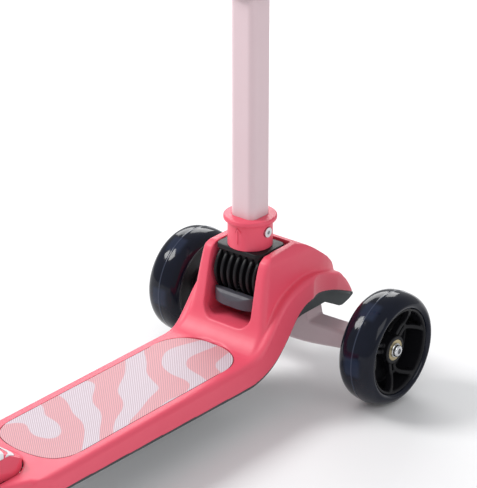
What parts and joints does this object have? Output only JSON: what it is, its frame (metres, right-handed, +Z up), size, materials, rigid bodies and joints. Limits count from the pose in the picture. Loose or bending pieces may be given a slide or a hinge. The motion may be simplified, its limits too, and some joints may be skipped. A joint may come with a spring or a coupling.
{
  "type": "kick scooter",
  "caption": "Three-wheeled child kick scooter: moulded deck with a folding square stem, lean-to-steer front truck, telescopic handlebar and rear foot brake.",
  "frame": {"origin": "on the ground under the middle of the scooter", "axes": "+Z up along the stem, -Y forward towards the pair of front wheels, +X to the rider's left"},
  "size_m": [0.298, 0.5506, 0.7],
  "materials": {
    "pink_shell": "satin moulded plastic",
    "dark_cover": "fine moulded grain",
    "foot_mat": "matt printed grip mat",
    "stem_paint": "pale pink powder coat",
    "black_plastic": "satin black",
    "button_grey": "satin grey",
    "zinc_steel": "zinc plated",
    "bright_bolt": "bright plated",
    "black_steel": "black coated",
    "lever_metal": "black anodised",
    "tyre_clear_navy": "clear dark polyurethane",
    "hub_black": "satin dark plastic",
    "light_module": "clear light blocks",
    "bushing_rubber": "matt elastomer",
    "grip_rubber": "matt ribbed rubber",
    "pale_grip": "matt rubber",
    "brake_lining": "friction lining"
  },
  "bodies": {
    "deck": {"deck_shell": "pink_shell", "deck_mat": "foot_mat", "underside_cover": "dark_cover", "cover_screws": "zinc_steel", "fold_chassis": "black_steel", "chassis_screws": "zinc_steel", "fold_axle": "zinc_steel", "fold_axle_nut": "zinc_steel", "kingpin": "zinc_steel", "kingpin_nut": "zinc_steel", "lower_bushing": "bushing_rubber", "upper_bushing": "bushing_rubber", "rear_axle": "zinc_steel", "rear_axle_nut": "zinc_steel", "rear_spacers": "zinc_steel", "brake_pin": "zinc_steel", "brake_spring": "zinc_steel"},
    "stem": {"fold_drum": "black_plastic", "collar": "pink_shell", "collar_bolt": "bright_bolt", "collar_nut": "bright_bolt", "lower_tube": "stem_paint", "height_clamp": "pink_shell", "clamp_bolt": "zinc_steel", "button_spring": "zinc_steel"},
    "release": {"release_button": "button_grey", "lock_pin": "zinc_steel"},
    "clamp_handle": {"clamp_lever": "lever_metal"},
    "mast": {"upper_tube": "stem_paint", "tube_plug": "dark_cover", "handlebar": "zinc_steel", "handlebar_joint": "pink_shell", "handlebar_screw": "zinc_steel", "grip_left": "grip_rubber", "grip_right": "grip_rubber"},
    "truck": {"truck_beam": "stem_paint", "front_left_axle_bolt": "bright_bolt", "front_left_spacers": "zinc_steel", "front_right_axle_bolt": "bright_bolt", "front_right_spacers": "zinc_steel"},
    "wheel_left": {"front_left_hub": "hub_black", "front_left_tyre": "tyre_clear_navy", "front_left_bearings": "bright_bolt", "front_left_lights": "light_module"},
    "wheel_right": {"front_right_hub": "hub_black", "front_right_tyre": "tyre_clear_navy", "front_right_bearings": "bright_bolt", "front_right_lights": "light_module"},
    "wheel_rear": {"rear_hub": "hub_black", "rear_tyre": "tyre_clear_navy", "rear_bearings": "bright_bolt"},
    "brake": {"brake_pedal": "pink_shell", "brake_grips": "pale_grip", "brake_pad": "brake_lining"}
  },
  "joints": [
    {"name": "stem_fold", "type": "hinge", "parent": "deck", "child": "stem", "pos_m": [0, -0.148, 0.132], "axis": [-1, 0, 0], "range_deg": [0, 90]},
    {"name": "fold_release", "type": "slide", "parent": "stem", "child": "release", "axis": [0, 0, -1], "range_m": [0, 0.004], "stiffness_N_per_m": 1500, "springref_m": -0.004, "deforming": ["button_spring"]},
    {"name": "height_adjust", "type": "slide", "parent": "stem", "child": "mast", "axis": [0, 0, 1], "range_m": [0, 0.12]},
    {"name": "clamp_lever_turn", "type": "hinge", "parent": "stem", "child": "clamp_handle", "pos_m": [0.0215, -0.178, 0.446], "axis": [0, 0, -1], "range_deg": [0, 120]},
    {"name": "lean_steer", "type": "hinge", "parent": "deck", "child": "truck", "pos_m": [0, -0.21, 0.06], "axis": [0, -0.5736, 0.8192], "range_deg": [-9, 9], "stiffness_Nm_per_rad": 60},
    {"name": "front_left_spin", "type": "hinge", "parent": "truck", "child": "wheel_left", "pos_m": [0.128, -0.21, 0.06], "axis": [1, 0, 0], "continuous": true},
    {"name": "front_right_spin", "type": "hinge", "parent": "truck", "child": "wheel_right", "pos_m": [-0.128, -0.21, 0.06], "axis": [1, 0, 0], "continuous": true},
    {"name": "rear_spin", "type": "hinge", "parent": "deck", "child": "wheel_rear", "pos_m": [0, 0.236, 0.04], "axis": [1, 0, 0], "continuous": true},
    {"name": "brake_press", "type": "hinge", "parent": "deck", "child": "brake", "pos_m": [0, 0.194, 0.061], "axis": [-1, 0, 0], "range_deg": [0, 4.7], "stiffness_Nm_per_rad": 2, "springref_deg": -6.88}
  ]
}
